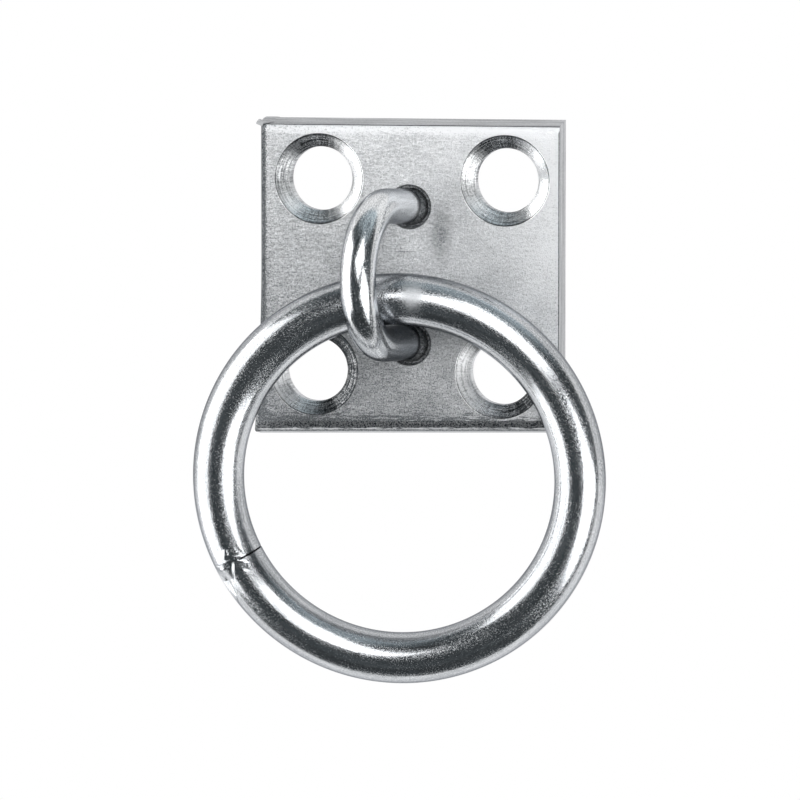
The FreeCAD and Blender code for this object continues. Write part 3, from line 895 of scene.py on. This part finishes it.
def make_plate(materials):
    skin = Skin()
    lines = [0 if depth < TOP_ROLL_DEPTH else CUT_LINE * rng.random() for depth in WALL_DEPTHS]
    walls = np.array([outline(depth, line) for depth, line in zip(WALL_DEPTHS, lines)])
    front, back = skin.add_tube(walls, wall_finishes())
    front_mouths, back_mouths = zip(*add_screw_holes(skin), *add_staple_seats(skin))
    skin.add_faces(fill_face(skin.points, front, front_mouths, turned_back=False), FACE)
    skin.add_faces(fill_face(skin.points, back, back_mouths, turned_back=True), FACE)

    # The burr's lump grows towards the back, and its spur stands in the front
    add_lump(skin, BURR_CORNERS, (PLATE_THICK - BURR_BACK_GAP, BURR_FRONT_GAP),
             (1, BURR_FRONT_SHARE), BURR_RAGGED)
    add_lump(skin, SPUR_CORNERS, (SPUR_DEPTH, 0), (SPUR_BACK_SHARE, 1), SPUR_RAGGED)
    add_piece("backplate_skin", skin, materials, "fixture", "backplate",
              skin.corner_grain(TURNED))


# Studio

OBJECT_MIDDLE = (frame_box[0] + frame_box[1]) / 2
VIEW_AZIMUTH = math.radians(13)
VIEW_ELEVATION = math.radians(5)
CAMERA_DISTANCE = 1.0
SENSOR = 36.0
LENS = 277.0
# What the camera looks at, in the part's millimetres
AIM = (-1.52, -5.0, -19.8)
# Ways are in degrees to the side and up from the way to the camera. A softbox has its way, its
# roll in degrees, its distance, its width and height, and how bright its face looks
SOFTBOXES = {
    "left_softbox": ((-80, 0), 0, 0.9, (0.98, 1.5), 2.4),
    "upper_softbox": ((8, 18), 35, 1.0, (0.83, 0.62), 3.0),
    "right_softbox": ((44, -21), -26, 1.0, (0.9, 0.72), 3.0),
}
SCREEN_WAY = (-4, -1)
SCREEN_RADIUS = 1.8
SCREEN_HALF_ANGLE = math.radians(91)
SCREEN_RINGS = 30
SCREEN_POINTS = 90
SCREEN_CLOTH = (0.02, 0.02, 0.02)
SCREEN_TINT = (0.8, 0.93, 1.0)
# How bright the screen glows, how much brighter it is overhead, and between which nearness to that
# way this comes in
SCREEN_DARK = 0.07
SCREEN_PALE = 0.45
SCREEN_PALE_WAY = (60, 70)
SCREEN_PALE_EDGE = (0.66, 0.97)
FLOOR_LEVEL = -2.4
FLOOR_HALF_SIZE = 14
FLOOR_COLOUR = (0.9, 0.9, 0.9)
FLOOR_GLOW = 0.85
WORLD_FILL = 0.6


def view_axes():
    """The camera's axes: to its right, up, and back from the object towards it."""
    a, e = VIEW_AZIMUTH, VIEW_ELEVATION
    back = Vector((math.sin(a) * math.cos(e), -math.cos(a) * math.cos(e), math.sin(e)))
    right = Vector((math.cos(a), math.sin(a), 0))
    return right, back.cross(right), back


def studio_direction(side, rise):
    """A direction from the object, in degrees to the side and up from the way to the camera."""
    right, up, back = view_axes()
    s, r = math.radians(side), math.radians(rise)
    return back * math.cos(s) * math.cos(r) + right * math.sin(s) * math.cos(r) + up * math.sin(r)


def add_camera():
    back = view_axes()[2]
    data = bpy.data.cameras.new("camera")
    data.sensor_width = SENSOR
    data.lens = LENS
    data.clip_start = 0.01
    data.clip_end = 50
    camera = add_to_scene("camera", data)
    camera.location = Vector(AIM) * MM + back * CAMERA_DISTANCE
    camera.rotation_euler = back.to_track_quat("Z", "Y").to_euler()
    bpy.context.scene.camera = camera


def add_softbox(name, way, roll, distance, size, brightness):
    """A rectangular lamp that faces the object and isn't seen by the camera."""
    data = bpy.data.lights.new(name, "AREA")
    data.shape = "RECTANGLE"
    data.size, data.size_y = size
    data.energy = brightness * math.pi * size[0] * size[1]
    lamp = add_to_scene(name, data)
    direction = studio_direction(*way)
    lamp.location = OBJECT_MIDDLE + direction * distance
    turned = Quaternion(direction, math.radians(roll)) @ direction.to_track_quat("Z", "Y")
    lamp.rotation_euler = turned.to_euler()
    lamp.visible_camera = False


def set_glow(shading, colour, tint, glow):
    """Makes a surface dull, with a low glow that sets its look."""
    shader = shading.nodes["Principled BSDF"]
    inputs = {"Base Color": (*colour, 1), "Roughness": 1, "Specular IOR Level": 0,
              "Emission Color": (*tint, 1), "Emission Strength": glow}
    for socket, value in inputs.items():
        shading.feed(shader, socket, value)


def screen_material(name):
    """Dark cloth with soft folds, which glows as the screen's mesh says."""
    material = bpy.data.materials.new(name)
    shading = Shading(material)
    glow = shading.add("ShaderNodeAttribute", {}, attribute_name="glow")["Fac"]
    folds = shading.noise(shading.object_place(), 1.7, 2, 0.5)
    glow = shading.times(glow, shading.fade(folds, 0.35, 0.65, 0.5, 1.6))
    set_glow(shading, SCREEN_CLOTH, SCREEN_TINT, glow)
    return material


def smoothly(value, start, end):
    """Runs smoothly from nothing to one while a value runs from start to end."""
    t = min(max((value - start) / (end - start), 0), 1)
    return t * t * (3 - 2 * t)


def add_dark_screen(name):
    """A dark cloth that is hung in a bowl shape round the camera's side, paler overhead."""
    axis = studio_direction(*SCREEN_WAY)
    across = axis.orthogonal().normalized()
    other = axis.cross(across)
    overhead = studio_direction(*SCREEN_PALE_WAY)
    points = []
    glows = []
    for ring in range(SCREEN_RINGS + 1):
        tilt = SCREEN_HALF_ANGLE * ring / SCREEN_RINGS
        for step in range(SCREEN_POINTS):
            turn = 2 * math.pi * step / SCREEN_POINTS
            aside = across * math.cos(turn) + other * math.sin(turn)
            way = axis * math.cos(tilt) + aside * math.sin(tilt)
            points.append(OBJECT_MIDDLE + way * SCREEN_RADIUS)
            glows.append(SCREEN_DARK + SCREEN_PALE * smoothly(way.dot(overhead), *SCREEN_PALE_EDGE))
    mesh = bpy.data.meshes.new(name)
    mesh.from_pydata(points, [], tube_faces(SCREEN_RINGS + 1, SCREEN_POINTS))
    attribute = mesh.attributes.new("glow", "FLOAT", "POINT")
    attribute.data.foreach_set("value", glows)
    mesh.materials.append(screen_material(name))
    screen = add_to_scene(name, mesh)
    screen.visible_camera = False
    screen.visible_shadow = False


def add_floor():
    """A pale floor well below the part, which hangs at some height."""
    mesh = bpy.data.meshes.new("floor")
    corners = [(x * FLOOR_HALF_SIZE, y * FLOOR_HALF_SIZE, FLOOR_LEVEL)
               for x, y in ((-1, -1), (1, -1), (1, 1), (-1, 1))]
    mesh.from_pydata(corners, [], [(0, 1, 2, 3)])
    material = bpy.data.materials.new("floor")
    set_glow(Shading(material), FLOOR_COLOUR, FLOOR_COLOUR, FLOOR_GLOW)
    mesh.materials.append(material)
    floor = add_to_scene("floor", mesh)


def light_world():
    """A white surround for the camera and for the metal's reflections, and a softer fill."""
    world = bpy.data.worlds.new("studio")
    shading = Shading(world)
    path = shading.add("ShaderNodeLightPath", {})
    seen = shading.math("MAXIMUM", path["Is Camera Ray"], path["Is Glossy Ray"])
    seen = shading.math("MAXIMUM", seen, path["Is Transmission Ray"])
    background = shading.nodes["Background"]
    shading.feed(background, "Color", (1, 1, 1, 1))
    shading.feed(background, "Strength", shading.fade(seen, 0, 1, WORLD_FILL, 1))
    bpy.context.scene.world = world


# The ring's patch beside the staple is dull and painted pale, a painted reflection of the staple
make_ring(rod_finish("ring_polish", dark=(0.32, 0.335, 0.35), light=(0.68, 0.69, 0.705),
                     edge_tint=(0.28, 0.29, 0.31), gloss=0.06, frost=0.28, relief=0.14,
                     dull_patch_painted_reflection=RING_DULL_PAINTED_REFLECTION))
# The staple's rod is painted lighter on its upper leg and darker on its lower leg, as painted light
# and shade
make_staple([rod_finish("staple_polish", dark=(0.3, 0.315, 0.33), light=(0.86, 0.87, 0.88),
                        edge_tint=(0.34, 0.35, 0.37), gloss=0.07, frost=0.25, relief=0.1,
                        painted_light_along=(8, 52, 0.5, -0.55)),
             painted_shade_grain_finish("staple_foot_painted_shade", pale_grains=1.1)])
# The plate's front has painted light and shade, and its dark grainy edges and rims are painted shade
make_plate([plate_face_finish(), cut_edge_finish(), turned_finish(),
            painted_shade_grain_finish("plate_edge_painted_shade", pale_grains=0.5)])

add_camera()
add_dark_screen("dark_screen")
for name, settings in SOFTBOXES.items():
    add_softbox(name, *settings)
add_floor()
light_world()
bpy.context.scene.view_settings.view_transform = "Standard"
